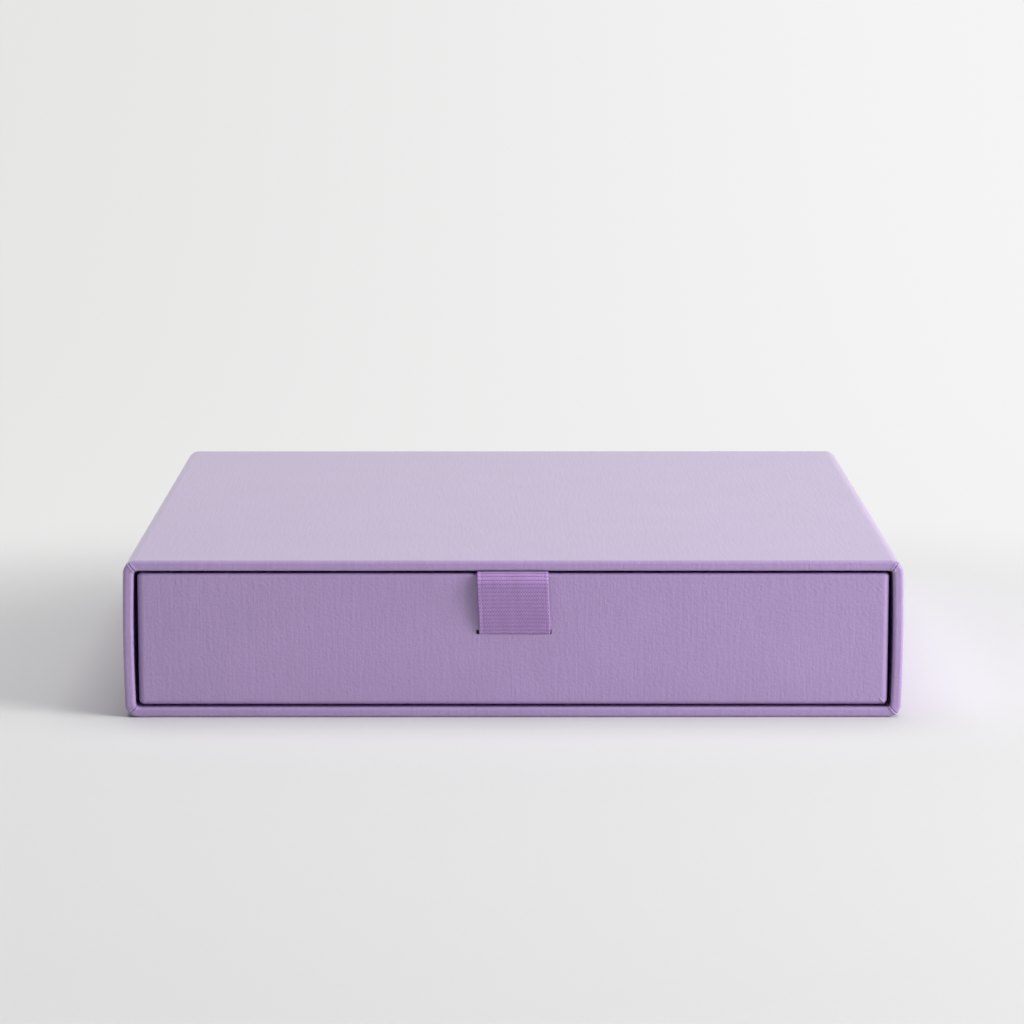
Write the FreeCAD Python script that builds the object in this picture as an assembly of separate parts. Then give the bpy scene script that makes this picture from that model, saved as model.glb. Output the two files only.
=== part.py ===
# A slide box for a gift: a slipcase sleeve of wrapped greyboard, and a tray that slides out
# of its open front as a drawer, pulled by a loop of grosgrain ribbon.
# Millimetres, +Z up, the open front faces -Y. The origin is the middle of the sleeve's underside.

import FreeCAD
import Part
import math
import os

Vector = FreeCAD.Vector

# Sheet stock
cover_paper = 0.25            # textured paper that wraps every outer face
lining_paper = 0.25           # smooth paper on the inner faces
sleeve_board = 2.5            # greyboard of the sleeve
drawer_board = 2.0            # greyboard of the drawer
stay_tape = 0.15              # gummed tape that ties board to board

# Sleeve
sleeve_width = 220.0          # over the swell of its sides
sleeve_depth = 210.0
sleeve_height = 45.0
side_bow = 0.4                # the swell of each side past its corners
mouth_corner_radius = 0.7     # inside corner of the mouth
lip_board_radius = 0.75       # outer edge of the board at the front and back
mouth_board_radius = 0.35     # inner edge of the board at the mouth
sleeve_turn_in = 15.0         # cover paper folded into the mouth
sleeve_turn_over = 12.0       # cover paper folded over the back and under the base
sleeve_stay_leg = 10.0        # each leg of a stay, from the corner
stay_end_margin = 2.0         # a stay stops this short of the board's end

# Drawer, fitted into the sleeve
drawer_recess = 0.3           # the drawer's face behind the sleeve's front
side_clearance = 1.2          # each side, at the widest of the swell
floor_clearance = 0.6
back_clearance = 0.5
ribbon_headroom = 0.3         # over the ribbon where it crosses the rim
drawer_board_radius = 1.15    # upright and bottom edges of the board
rim_board_radius = 0.65       # both edges of the board at the rim
drawer_turn_in = 14.0         # cover paper folded over the rim
drawer_turn_under = 12.0      # cover paper folded under the floor
drawer_stay_leg = 9.0
floor_lining_margin = 0.5     # the floor lining stops this short of the walls

# Ribbon pull
ribbon_width = 20.0
ribbon_thickness = 0.4
ribbon_standoff = 2.0         # the loop's greatest gap from the drawer's face
ribbon_slit_gap = 0.1         # its least gap there, where it comes out of the slit
ribbon_turn_radius = 0.4      # inside of its bend below the slit's upper edge
slit_drop = 16.0              # from the rim down to the slit
slit_height = 1.3
slit_side_clearance = 1.0
slit_lip_radius = 0.5         # lower edge inside, where the ribbon turns down
upper_tail = 12.0             # glued end below the rim
tail_floor_gap = 5.2          # the lower glued end stops this far above the floor lining
patch_side_border = 4.0       # the patch's glued border beside the ribbon
patch_end_border = 2.0        # and past the ribbon's lower end

# Sleeve, worked out
turned_in = cover_paper + sleeve_board + cover_paper
lined = cover_paper + sleeve_board + lining_paper
wall = max(turned_in, lined)
board_inner = cover_paper + sleeve_board
fold_radius = mouth_corner_radius + wall
front = -sleeve_depth / 2
back = sleeve_depth / 2
board_front = front + cover_paper
board_back = back - cover_paper
back_board_front = board_back - sleeve_board
back_lining_front = back_board_front - lining_paper
mid_height = sleeve_height / 2

# Drawer, worked out
tray_width = sleeve_width - 2 * wall - 2 * side_clearance
tray_front = front + drawer_recess
tray_back = back_lining_front - back_clearance
tray_base = wall + floor_clearance
rim = sleeve_height - wall - ribbon_headroom - ribbon_thickness
tray_board_inner = cover_paper + drawer_board
tray_wall = tray_board_inner + max(cover_paper, lining_paper)
tray_lining_top = rim - drawer_turn_in
tray_floor = tray_base + tray_board_inner
tray_radius = drawer_board_radius + cover_paper
rim_radius = rim_board_radius + cover_paper
slit_top = rim - slit_drop
slit_bottom = slit_top - slit_height
slit_width = ribbon_width + 2 * slit_side_clearance
tail_end = tray_floor + lining_paper + tail_floor_gap

reach = sleeve_width + sleeve_depth   # longer than anything that it cuts
same_place = 0.0001
depth_axis = Vector(0, 1, 0)
height_axis = Vector(0, 0, 1)


def box(low, high):
    size = high - low
    return Part.makeBox(size.x, size.y, size.z, low)


def plate(half_width, low_y, high_y, low_z, high_z):
    return box(Vector(-half_width, low_y, low_z), Vector(half_width, high_y, high_z))


def straight_edges(shape, axis):
    """The straight edges that run along an axis."""
    found = []
    for edge in shape.Edges:
        along = edge.tangentAt(edge.FirstParameter)
        if edge.Curve.TypeId == "Part::GeomLine" and abs(along.dot(axis)) > 1 - same_place:
            found.append(edge)
    return found


def level_edges(shape, axis, place):
    """The edges that lie across an axis at one place."""
    found = []
    for edge in shape.Edges:
        middle = edge.valueAt((edge.FirstParameter + edge.LastParameter) / 2)
        points = [vertex.Point for vertex in edge.Vertexes] + [middle]
        if all(abs(point.dot(axis) - place) < same_place for point in points):
            found.append(edge)
    return found


def write(name, shape):
    shape.exportStep(os.path.join("parts", name + ".step"))


# ---- Sleeve ----

def bowed_block(inset, low_y, high_y):
    """The sleeve's outer form, taken in by an inset on its four long sides."""
    corner = sleeve_width / 2 - side_bow - inset
    swell = sleeve_width / 2 - inset
    low = inset
    high = sleeve_height - inset
    right = Part.Arc(Vector(corner, low_y, low), Vector(swell, low_y, mid_height),
                     Vector(corner, low_y, high))
    left = Part.Arc(Vector(-corner, low_y, high), Vector(-swell, low_y, mid_height),
                    Vector(-corner, low_y, low))
    outline = Part.Wire([
        Part.makeLine(Vector(-corner, low_y, low), Vector(corner, low_y, low)),
        right.toShape(),
        Part.makeLine(Vector(corner, low_y, high), Vector(-corner, low_y, high)),
        left.toShape(),
    ])
    block = Part.Face(outline).extrude(Vector(0, high_y - low_y, 0))
    return block.makeFillet(fold_radius - inset, straight_edges(block, depth_axis))


def round_ends(block, radius, ends):
    edges = []
    for end in ends:
        edges += level_edges(block, depth_axis, end)
    return block.makeFillet(radius, edges)


def open_mouth(block, inset, low_y, high_y, radius):
    """Hollows a block from its front and rounds the inner edge of the mouth."""
    hollow = block.cut(bowed_block(inset, low_y, high_y))
    edges = []
    for face in hollow.Faces:
        if len(level_edges(face, depth_axis, low_y)) == len(face.Edges):
            for wire in face.Wires:
                if not wire.isSame(face.OuterWire):
                    edges += wire.Edges
    return hollow.makeFillet(radius, edges)


def corner_stays(core):
    """Four strips of tape, folded round the long edges of the board and let into its surface."""
    low_y = board_front + stay_end_margin
    high_y = board_back - stay_end_margin
    tape = core.common(plate(reach, low_y, high_y, -reach, reach)).cut(
        bowed_block(cover_paper + stay_tape, low_y, high_y))
    corner_x = sleeve_width / 2 - sleeve_stay_leg
    corner_z = mid_height - sleeve_stay_leg
    tape = tape.cut(plate(corner_x, low_y, high_y, -reach, reach))
    return tape.cut(plate(reach, low_y, high_y, mid_height - corner_z, mid_height + corner_z))


def mitred_wedge(points):
    outline = Part.makePolygon([Vector(x, front - 1, z) for x, z in points + points[:1]])
    return Part.Face(outline).extrude(Vector(0, sleeve_depth + 2, 0))


def sleeve_boards(core, stays):
    """The boards meet at mitred edges, and the back board stands inside the other four."""
    rear = bowed_block(board_inner, back_board_front, board_back)
    tube = core.cut(rear).cut(stays)
    inner_x = sleeve_width / 2 - side_bow - board_inner
    inner_z = mid_height - board_inner
    out = 2 * wall
    apex_x = inner_x - inner_z
    over = [(-inner_x - out, mid_height + inner_z + out), (inner_x + out, mid_height + inner_z + out),
            (apex_x, mid_height), (-apex_x, mid_height)]
    under = [(x, sleeve_height - z) for x, z in over]
    right = [over[1], under[1], over[2]]
    left = [(-x, z) for x, z in right]
    return {
        "sleeve_top_board": tube.common(mitred_wedge(over)),
        "sleeve_bottom_board": tube.common(mitred_wedge(under)),
        "sleeve_left_board": tube.common(mitred_wedge(left)),
        "sleeve_right_board": tube.common(mitred_wedge(right)),
        "sleeve_back_board": core.common(rear),
    }


def make_sleeve():
    core = round_ends(bowed_block(cover_paper, board_front, board_back),
                      lip_board_radius, (board_front, board_back))
    core = open_mouth(core, board_inner, board_front, back_board_front, mouth_board_radius)
    stays = corner_stays(core)
    pieces = sleeve_boards(core, stays)
    pieces["sleeve_corner_stays"] = stays

    turn_in_end = front + sleeve_turn_in
    skin = round_ends(bowed_block(0, front, back), lip_board_radius + cover_paper, (front, back))
    skin = open_mouth(skin, turned_in, front, turn_in_end, mouth_board_radius + cover_paper)
    skin = skin.cut(core)
    skin = skin.cut(bowed_block(board_inner, turn_in_end, back_board_front))

    panel_x = sleeve_width / 2 - sleeve_turn_over
    back_panel = plate(panel_x, board_back, back,
                       sleeve_turn_over, sleeve_height - sleeve_turn_over)
    base_panel = plate(panel_x, front + sleeve_turn_over, back - sleeve_turn_over, 0, cover_paper)
    pieces["sleeve_back_sheet"] = back_panel
    pieces["sleeve_base_sheet"] = base_panel
    pieces["sleeve_wrap"] = skin.cut(back_panel).cut(base_panel)

    tube_lining = bowed_block(board_inner, turn_in_end, back_lining_front)
    pieces["sleeve_lining"] = tube_lining.cut(bowed_block(lined, turn_in_end, back_lining_front))
    pieces["sleeve_back_lining"] = bowed_block(board_inner, back_lining_front, back_board_front)
    return pieces


# ---- Drawer ----

def tray_block(inset, top):
    """The drawer's outer form, taken in by an inset all round, with a level top."""
    radius = tray_radius - inset
    block = plate(tray_width / 2 - inset, tray_front + inset, tray_back - inset,
                  tray_base + inset, top)
    bottom = level_edges(block, height_axis, tray_base + inset)
    return block.makeFillet(radius, straight_edges(block, height_axis) + bottom)


def tray_hollow(inset, bottom, top):
    return plate(tray_width / 2 - inset, tray_front + inset, tray_back - inset, bottom, top)


def round_rim(tray, top, radius):
    return tray.makeFillet(radius, level_edges(tray, height_axis, top))


def slit_tool():
    """A level slot through the front wall, with a rounded lower lip inside for the ribbon."""
    outside = tray_front - 1
    wall_inside = tray_front + tray_wall
    inside = wall_inside + 1
    lip_y = wall_inside - slit_lip_radius
    lip_z = slit_bottom - slit_lip_radius
    bend = slit_lip_radius * math.sqrt(0.5)
    lip = Part.Arc(Vector(0, lip_y, slit_bottom), Vector(0, lip_y + bend, lip_z + bend),
                   Vector(0, wall_inside, lip_z))
    rest = Part.makePolygon([
        Vector(0, wall_inside, lip_z),
        Vector(0, inside, lip_z),
        Vector(0, inside, slit_top),
        Vector(0, outside, slit_top),
        Vector(0, outside, slit_bottom),
        Vector(0, lip_y, slit_bottom),
    ])
    face = Part.Face(Part.Wire([lip.toShape()] + rest.Edges))
    face.translate(Vector(-slit_width / 2, 0, 0))
    return face.extrude(Vector(slit_width, 0, 0))


def drawer_stays():
    """Four strips of tape, folded round the upright corners of the board."""
    top = rim - cover_paper - stay_end_margin
    bottom = tray_base + cover_paper + stay_end_margin
    outer = tray_block(cover_paper, top)
    inner = tray_block(cover_paper + stay_tape, top)
    tape = outer.cut(inner)
    tape = tape.cut(plate(tray_width / 2 - drawer_stay_leg, -reach, reach, -reach, reach))
    tape = tape.cut(plate(reach, tray_front + drawer_stay_leg, tray_back - drawer_stay_leg,
                          -reach, reach))
    return tape.cut(plate(reach, -reach, reach, -reach, bottom))


def drawer_boards(core, stays, slit):
    """The walls stand on the floor board, and the front and back run the full width."""
    core = core.cut(stays)
    walls = core.common(plate(reach, -reach, reach, tray_floor, reach))
    front_zone = plate(reach, -reach, tray_front + tray_board_inner, -reach, reach)
    back_zone = plate(reach, tray_back - tray_board_inner, reach, -reach, reach)
    sides = walls.cut(front_zone).cut(back_zone)
    left_zone = box(Vector(-reach, -reach, -reach), Vector(0, reach, reach))
    return {
        "drawer_floor_board": core.common(plate(reach, -reach, reach, -reach, tray_floor)),
        "drawer_front_board": walls.common(front_zone).cut(slit),
        "drawer_back_board": walls.common(back_zone),
        "drawer_left_board": sides.common(left_zone),
        "drawer_right_board": sides.cut(left_zone),
    }


def make_drawer():
    slit = slit_tool()
    board_top = rim - cover_paper
    core = tray_block(cover_paper, board_top).cut(
        tray_hollow(tray_board_inner, tray_floor, board_top))
    core = round_rim(core, board_top, rim_board_radius)
    stays = drawer_stays()
    pieces = drawer_boards(core, stays, slit)
    pieces["drawer_corner_stays"] = stays

    skin = tray_block(0, rim).cut(
        tray_hollow(tray_board_inner + cover_paper, tray_lining_top, rim))
    skin = round_rim(skin, rim, rim_radius)
    skin = skin.cut(core)
    skin = skin.cut(tray_hollow(tray_board_inner, tray_floor, tray_lining_top))
    base_panel = plate(tray_width / 2 - drawer_turn_under, tray_front + drawer_turn_under,
                       tray_back - drawer_turn_under, tray_base, tray_base + cover_paper)
    pieces["drawer_base_sheet"] = base_panel
    pieces["drawer_wrap"] = skin.cut(base_panel).cut(slit)

    lined_inset = tray_board_inner + lining_paper
    wall_lining = tray_hollow(tray_board_inner, tray_floor, tray_lining_top).cut(
        tray_hollow(lined_inset, tray_floor, tray_lining_top))
    pieces["drawer_wall_lining"] = wall_lining.cut(slit)
    pieces["drawer_floor_lining"] = tray_hollow(lined_inset + floor_lining_margin, tray_floor,
                                                tray_floor + lining_paper)
    return pieces


# ---- Ribbon ----

def ribbon_layout():
    """The arcs of the loop on a side view: u is out from the drawer's face, z is height.

    The loop stands out over the rim in a wide bend. A straight run that touches both bends takes
    it down to the slit, where it turns in along the slit's lower edge, and down over the lip.
    """
    half = ribbon_thickness / 2
    rim_z = rim - rim_radius
    bend_radius = ribbon_standoff + rim_radius + half
    bend_z = rim + half - bend_radius
    turn_radius = ribbon_turn_radius + half
    turn_u = ribbon_slit_gap - ribbon_turn_radius
    turn_z = slit_bottom + half + turn_radius
    across = turn_u + rim_radius
    down = turn_z - bend_z
    apart = math.hypot(across, down)
    run_angle = math.atan2(down, across) + math.acos((bend_radius - turn_radius) / apart)
    return {
        "inner_rim": (rim_radius - tray_wall, rim_z, rim_radius + half),
        "outer_bend": (-rim_radius, bend_z, bend_radius),
        "outer_turn": (turn_u, turn_z, turn_radius),
        "inner_turn": (slit_lip_radius - tray_wall, slit_bottom - slit_lip_radius,
                       slit_lip_radius + half),
        "run_angle": run_angle,
    }


def on_circle(circle, offset, angle):
    u, z, radius = circle
    return Vector(0, tray_front - u - (radius + offset) * math.cos(angle),
                  z + (radius + offset) * math.sin(angle))


def arc_edge(circle, offset, start, end):
    points = [on_circle(circle, offset, angle) for angle in (start, (start + end) / 2, end)]
    return Part.Arc(points[0], points[1], points[2]).toShape()


def ribbon_side(offset):
    """One face of the ribbon on the side view, from its upper end to its lower end."""
    plan = ribbon_layout()
    quarter = math.pi / 2
    arcs = [
        arc_edge(plan["inner_rim"], offset, math.pi, quarter),
        arc_edge(plan["outer_bend"], offset, quarter, plan["run_angle"]),
        arc_edge(plan["outer_turn"], offset, plan["run_angle"], -quarter),
        arc_edge(plan["inner_turn"], -offset, quarter, math.pi),
    ]
    upper = on_circle(plan["inner_rim"], offset, math.pi)
    lower = on_circle(plan["inner_turn"], -offset, math.pi)
    upper_end = Vector(0, upper.y, rim - upper_tail)
    lower_end = Vector(0, lower.y, tail_end)
    edges = [
        Part.makeLine(upper_end, upper),
        arcs[0],
        Part.makeLine(on_circle(plan["inner_rim"], offset, quarter),
                      on_circle(plan["outer_bend"], offset, quarter)),
        arcs[1],
        Part.makeLine(on_circle(plan["outer_bend"], offset, plan["run_angle"]),
                      on_circle(plan["outer_turn"], offset, plan["run_angle"])),
        arcs[2],
        Part.makeLine(on_circle(plan["outer_turn"], offset, -quarter),
                      on_circle(plan["inner_turn"], -offset, quarter)),
        arcs[3],
        Part.makeLine(lower, lower_end),
    ]
    return edges, upper_end, lower_end


def make_ribbon():
    half = ribbon_thickness / 2
    outer, outer_start, outer_end = ribbon_side(half)
    inner, inner_start, inner_end = ribbon_side(-half)
    ends = [Part.makeLine(outer_start, inner_start), Part.makeLine(outer_end, inner_end)]
    outline = Part.Wire(Part.__sortEdges__(outer + inner + ends))
    face = Part.Face(outline)
    face.translate(Vector(-ribbon_width / 2, 0, 0))
    return face.extrude(Vector(ribbon_width, 0, 0))


def make_patch():
    """A paper patch glued over the ribbon's ends, with a border that lies on the lining."""
    seat = tray_front + tray_wall
    step = ribbon_width / 2
    brim = step + patch_side_border
    raised = seat + ribbon_thickness
    low_z = tail_end - patch_end_border
    high_z = rim - 2 * rim_radius - ribbon_thickness
    outline = Part.makePolygon([
        Vector(-brim, seat, low_z),
        Vector(-step, seat, low_z),
        Vector(-step, raised, low_z),
        Vector(step, raised, low_z),
        Vector(step, seat, low_z),
        Vector(brim, seat, low_z),
        Vector(brim, seat + lining_paper, low_z),
        Vector(step + lining_paper, seat + lining_paper, low_z),
        Vector(step + lining_paper, raised + lining_paper, low_z),
        Vector(-step - lining_paper, raised + lining_paper, low_z),
        Vector(-step - lining_paper, seat + lining_paper, low_z),
        Vector(-brim, seat + lining_paper, low_z),
        Vector(-brim, seat, low_z),
    ])
    return Part.Face(outline).extrude(Vector(0, 0, high_z - low_z))


os.makedirs("parts", exist_ok=True)
pieces = make_sleeve()
pieces.update(make_drawer())
pieces["ribbon_pull"] = make_ribbon()
pieces["ribbon_patch"] = make_patch()
for name, shape in pieces.items():
    write(name, shape)
    print(name, len(shape.Solids), "solids, valid", shape.isValid(), "volume", round(shape.Volume, 1))
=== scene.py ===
# A slide box for a gift: a sleeve and a drawer of board in linen paper, and a ribbon pull.
import bpy
import mathutils
import numpy as np
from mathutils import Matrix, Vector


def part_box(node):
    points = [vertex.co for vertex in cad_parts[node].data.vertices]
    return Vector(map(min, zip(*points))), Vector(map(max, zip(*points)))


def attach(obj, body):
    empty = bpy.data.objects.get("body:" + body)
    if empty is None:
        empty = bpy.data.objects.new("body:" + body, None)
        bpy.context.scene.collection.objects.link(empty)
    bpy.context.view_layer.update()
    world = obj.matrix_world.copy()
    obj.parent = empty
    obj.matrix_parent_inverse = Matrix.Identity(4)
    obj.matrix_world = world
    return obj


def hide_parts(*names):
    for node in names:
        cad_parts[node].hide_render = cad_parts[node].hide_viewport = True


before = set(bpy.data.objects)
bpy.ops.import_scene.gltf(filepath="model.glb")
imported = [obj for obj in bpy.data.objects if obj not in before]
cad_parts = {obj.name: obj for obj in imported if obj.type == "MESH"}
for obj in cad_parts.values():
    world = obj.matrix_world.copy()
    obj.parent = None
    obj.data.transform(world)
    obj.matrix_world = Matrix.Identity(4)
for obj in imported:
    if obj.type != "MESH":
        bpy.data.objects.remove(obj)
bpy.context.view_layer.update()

mm = 0.001
halfTurn = np.pi
quarterTurn = halfTurn / 2
print("frame loaded with", len(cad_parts), "nodes")


def boxOf(node):
    low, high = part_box(node)
    return np.array(low), np.array(high)


sleeveLow, sleeveHigh = boxOf("sleeve_wrap")
drawerLow, drawerHigh = boxOf("drawer_wrap")
ribbonLow, ribbonHigh = boxOf("ribbon_pull")
patchLow, patchHigh = boxOf("ribbon_patch")

stock = {
    "cover": 0.25 * mm,
    "lining": 0.25 * mm,
    "sleeveBoard": 2.5 * mm,
    "drawerBoard": 2.0 * mm,
    "seam": 0.12 * mm,  # hairline between two sheets that lie edge to edge
    "sharpest": 0.2 * mm,  # the tightest corner that the paper makes
}


# Points from start towards end, evenly spaced, without the end
def straight(start, end, steps):
    share = np.linspace(0, 1, steps, endpoint=False)[:, None]
    return np.array(start) + (np.array(end) - np.array(start)) * share


# Points round a centre from one angle towards another, without the last
def bend(centre, radius, fromAngle, toAngle, steps):
    angle = np.linspace(fromAngle, toAngle, steps, endpoint=False)
    return np.array(centre) + radius * np.stack([np.cos(angle), np.sin(angle)], axis=1)


# Goes from 0 to 1 between two places, level at both ends: t squared times (3 - 2t)
def smooth(low, high, value):
    t = np.clip((value - low) / (high - low), 0, 1)
    return t * t * (3 - 2 * t)


# A bell of height 1: e to the minus (distance over width) squared
def bell(distance, width):
    return np.exp(-(distance / width) ** 2)


# Unit normals of a closed outline, pointing out of it: across the line from the point before to
# the point after, on the side that the sign of the outline's area gives
def outlineNormals(outline):
    before, after = np.roll(outline, 1, axis=0), np.roll(outline, -1, axis=0)
    along = (after - before) / np.linalg.norm(after - before, axis=1)[:, None]
    area = np.sum(outline[:, 0] * after[:, 1] - outline[:, 1] * after[:, 0])
    return np.sign(area) * np.stack([along[:, 1], -along[:, 0]], axis=1)


# The place in an array of the value nearest to the wanted one
def nearest(values, wanted):
    return int(np.argmin(np.abs(values - wanted)))


# Distance run along a closed outline, from its first point back round to it
def lengthAlong(outline):
    steps = np.linalg.norm(np.roll(outline, -1, axis=0) - outline, axis=1)
    return np.concatenate([[0], np.cumsum(steps)])


# A closed outline from named runs, and the row at which each starts. A run of steps and a start goes
# straight to where the next one starts. One of steps, centre, radius and two angles goes round.
def traceOutline(runs):
    starts = [np.array(run[1]) if len(run) == 2 else bend(*run[1:], 1)[0] for run in runs.values()]
    parts = []
    for run, start, end in zip(runs.values(), starts, starts[1:] + starts[:1]):
        parts.append(straight(start, end, run[0]) if len(run) == 2 else bend(*run[1:], run[0]))
    rows = np.cumsum([0] + [run[0] for run in runs.values()])
    return np.concatenate(parts), dict(zip(runs, rows))


# The four corners of each kept face of a grid, as rows and as columns
def faceCorners(keep):
    r, c = np.nonzero(keep)
    return np.stack([r, r, r + 1, r + 1], axis=1), np.stack([c, c + 1, c + 1, c], axis=1)


# Rows and columns of the points round a rectangle of a grid, in order
def edgeOf(top, bottom, left, right):
    across, down = np.arange(left, right), np.arange(top, bottom)
    return (np.concatenate([top + 0 * across, down, bottom + 0 * across, down[::-1] + 1]),
            np.concatenate([across, right + 0 * down, across[::-1] + 1, left + 0 * down]))


# A wall of faces between two closed edges that run the same way, and its UV
def wallBetween(first, second, edgeLay):
    nextLay = np.roll(edgeLay, -1, axis=0)
    faces = np.stack([first, np.roll(first, -1), np.roll(second, -1), second], axis=1)
    return faces, np.stack([edgeLay, nextLay, nextLay, edgeLay], axis=1)


# A grid closed both ways becomes a ring of faces. points is rows by columns, lay is the UV map in
# metres on one more row and column. The window is (first row, last row, row opposite the last,
# first column, last column): its faces are left out of both skins, and a wall joins the two edges.
def ringMesh(name, points, lay, window):
    rows, cols = points.shape[:2]
    top, bottom, opposite, left, right = window
    keep = np.ones((rows, cols), bool)
    keep[top:bottom, left:right] = False
    keep[opposite:opposite + bottom - top, left:right] = False
    cornerRows, cornerCols = faceCorners(keep)
    skin = (cornerRows % rows) * cols + cornerCols % cols
    edgeRows, edgeCols = edgeOf(top, bottom, left, right)
    inner = (opposite + bottom - edgeRows) * cols + edgeCols
    wall, wallLay = wallBetween(edgeRows * cols + edgeCols, inner, lay[edgeRows, edgeCols])
    return meshPiece(name, points.reshape(-1, 3), np.concatenate([skin, wall]),
                     np.concatenate([lay[cornerRows, cornerCols], wallLay]))


# Two skins of a thin sheet, as grids of one size, joined by a wall round their edges
def sheetMesh(name, outer, inner, lay):
    rows, cols = outer.shape[:2]
    cornerRows, cornerCols = faceCorners(np.ones((rows - 1, cols - 1)))
    skin = cornerRows * cols + cornerCols
    skinLay = lay[cornerRows, cornerCols]
    edgeRows, edgeCols = edgeOf(0, rows - 1, 0, cols - 1)
    edge = edgeRows * cols + edgeCols
    other = rows * cols
    wall, wallLay = wallBetween(edge + other, edge, lay[edgeRows, edgeCols])
    points = np.concatenate([outer.reshape(-1, 3), inner.reshape(-1, 3)])
    faces = np.concatenate([skin, other + skin[:, ::-1], wall])
    return meshPiece(name, points, faces, np.concatenate([skinLay, skinLay[:, ::-1], wallLay]))


# Puts a mesh, a lamp or a camera into the scene as an object
def addObject(name, data):
    thing = bpy.data.objects.new(name, data)
    bpy.context.scene.collection.objects.link(thing)
    return thing


# A mesh from an array of points, an array of four-cornered faces and the UV of each corner. Where
# the faces point inward, which gives their solid a volume below 0, they are turned over.
def meshPiece(name, points, faces, maps):
    used, faces = np.unique(faces, return_inverse=True)
    faces = faces.reshape(-1, 4)
    points = points[used]
    corners = points[faces]
    across = np.cross(corners[:, 2] - corners[:, 0], corners[:, 3] - corners[:, 1])
    volume = np.einsum("ij,ij->", corners.mean(axis=1), across)
    if volume < 0:
        faces = faces[:, ::-1]
        maps = maps[:, ::-1]
    mesh = bpy.data.meshes.new(name)
    mesh.vertices.add(len(points))
    mesh.vertices.foreach_set("co", points.astype(np.float32).ravel())
    mesh.loops.add(faces.size)
    mesh.loops.foreach_set("vertex_index", faces.astype(np.int32).ravel())
    mesh.polygons.add(len(faces))
    mesh.polygons.foreach_set("loop_start", np.arange(0, faces.size, 4, dtype=np.int32))
    mesh.polygons.foreach_set("use_smooth", np.ones(len(faces), bool))
    mesh.update(calc_edges=True)
    uv = mesh.uv_layers.new(name="lay")
    uv.data.foreach_set("uv", maps.astype(np.float32).ravel())
    mesh.validate()
    return addObject(name, mesh)


# Gives a piece its finish, the nodes that it stands for and the body that carries it
def dress(piece, material, slotName, body, *nodes):
    piece.data.materials.append(material)
    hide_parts(*nodes)
    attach(piece, body)


paperLook = {
    "base": (0.385, 0.265, 0.512),
    "shade": 0.955,  # painted shade: how much darker the valleys between threads are coloured
    "roughness": 0.36,
    "varnishRoughness": 0.34,
    "threadPitch": 0.9 * mm,
    "threadLength": 12.0 * mm,
    "threadShare": 0.55,
    "crossPitch": 0.9 * mm,
    "crossLength": 3.0 * mm,
    "relief": 0.05 * mm,
    "crossShare": 0.2,  # strength of the cross threads beside the long ones
    "tooth": 1100,  # grains per metre
    "toothShare": 0.9,
    "cloud": 45,  # soft patches per metre
    "cloudShade": 0.96,
    "ior": 1.5,
    "gloss": 0.5,
}
ribbonLook = {
    "base": (0.432, 0.258, 0.572),
    "roughness": 0.55,
    "sheen": 0.40,
    "shade": 0.84,  # painted shade down between the ribs
    "ribRange": (-1.0, 0.1),  # the part of the ribs' wave that gets the painted shade
    "dotShade": 0.64,  # painted shade where two warp yarns part
    "yarnRange": (-0.8, 0.8),  # and of the chequer
    "paintedBendHighlight": 1.20,  # painted highlight: the bend over the rim, which faces up into the light, is coloured paler
    "bendShadePower": 2.2,  # and the painted shade between its ribs darker there: the shade to this power
    "edgePaler": 1.12,  # the selvedges
    "edgeBlend": 0.3 * mm,
    "relief": 0.03 * mm,
    "fuzz": 3000,  # hairs per metre
    "fuzzShare": 1.2,
    "wander": (500, 90),  # uneven dye, in features per metre across and along
    "wanderDark": 0.94,
    "wanderPale": 1.04,
    "sheenRoughness": 0.4,
}
# Plain papers and boards: each layer of fibre is a noise, with its features per metre on each axis
# and how dark and how pale it makes them
liningLook = {
    "base": (0.520, 0.420, 0.600),
    "roughness": 0.7,
    "relief": 0.03 * mm,
    "layers": [
        {"scale": (900, 900, 900), "detail": 3.0, "rough": 0.6, "dark": 0.965, "pale": 1.0},
        {"scale": (60, 60, 60), "detail": 3.0, "rough": 0.5, "dark": 0.97, "pale": 1.0},
    ],
}
boardLook = {
    "base": (0.330, 0.300, 0.262),
    "roughness": 0.9,
    "relief": 0.08 * mm,
    "layers": [
        {"scale": (700, 700, 700), "detail": 4.0, "rough": 0.65, "dark": 0.85, "pale": 1.1},
        {"scale": (2600, 900, 2600), "detail": 2.0, "rough": 0.5, "dark": 0.7, "pale": 1.0,
         "range": (0.32, 0.5)},
    ],
}
tapeLook = {
    "base": (0.430, 0.270, 0.140),
    "roughness": 0.65,
    "relief": 0.03 * mm,
    "layers": [
        {"scale": (2500, 300, 2500), "detail": 3.0, "rough": 0.6, "dark": 0.82, "pale": 1.08},
    ],
}

noiseRange = (0.3, 0.7)  # nearly all of a noise lies between these


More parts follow.
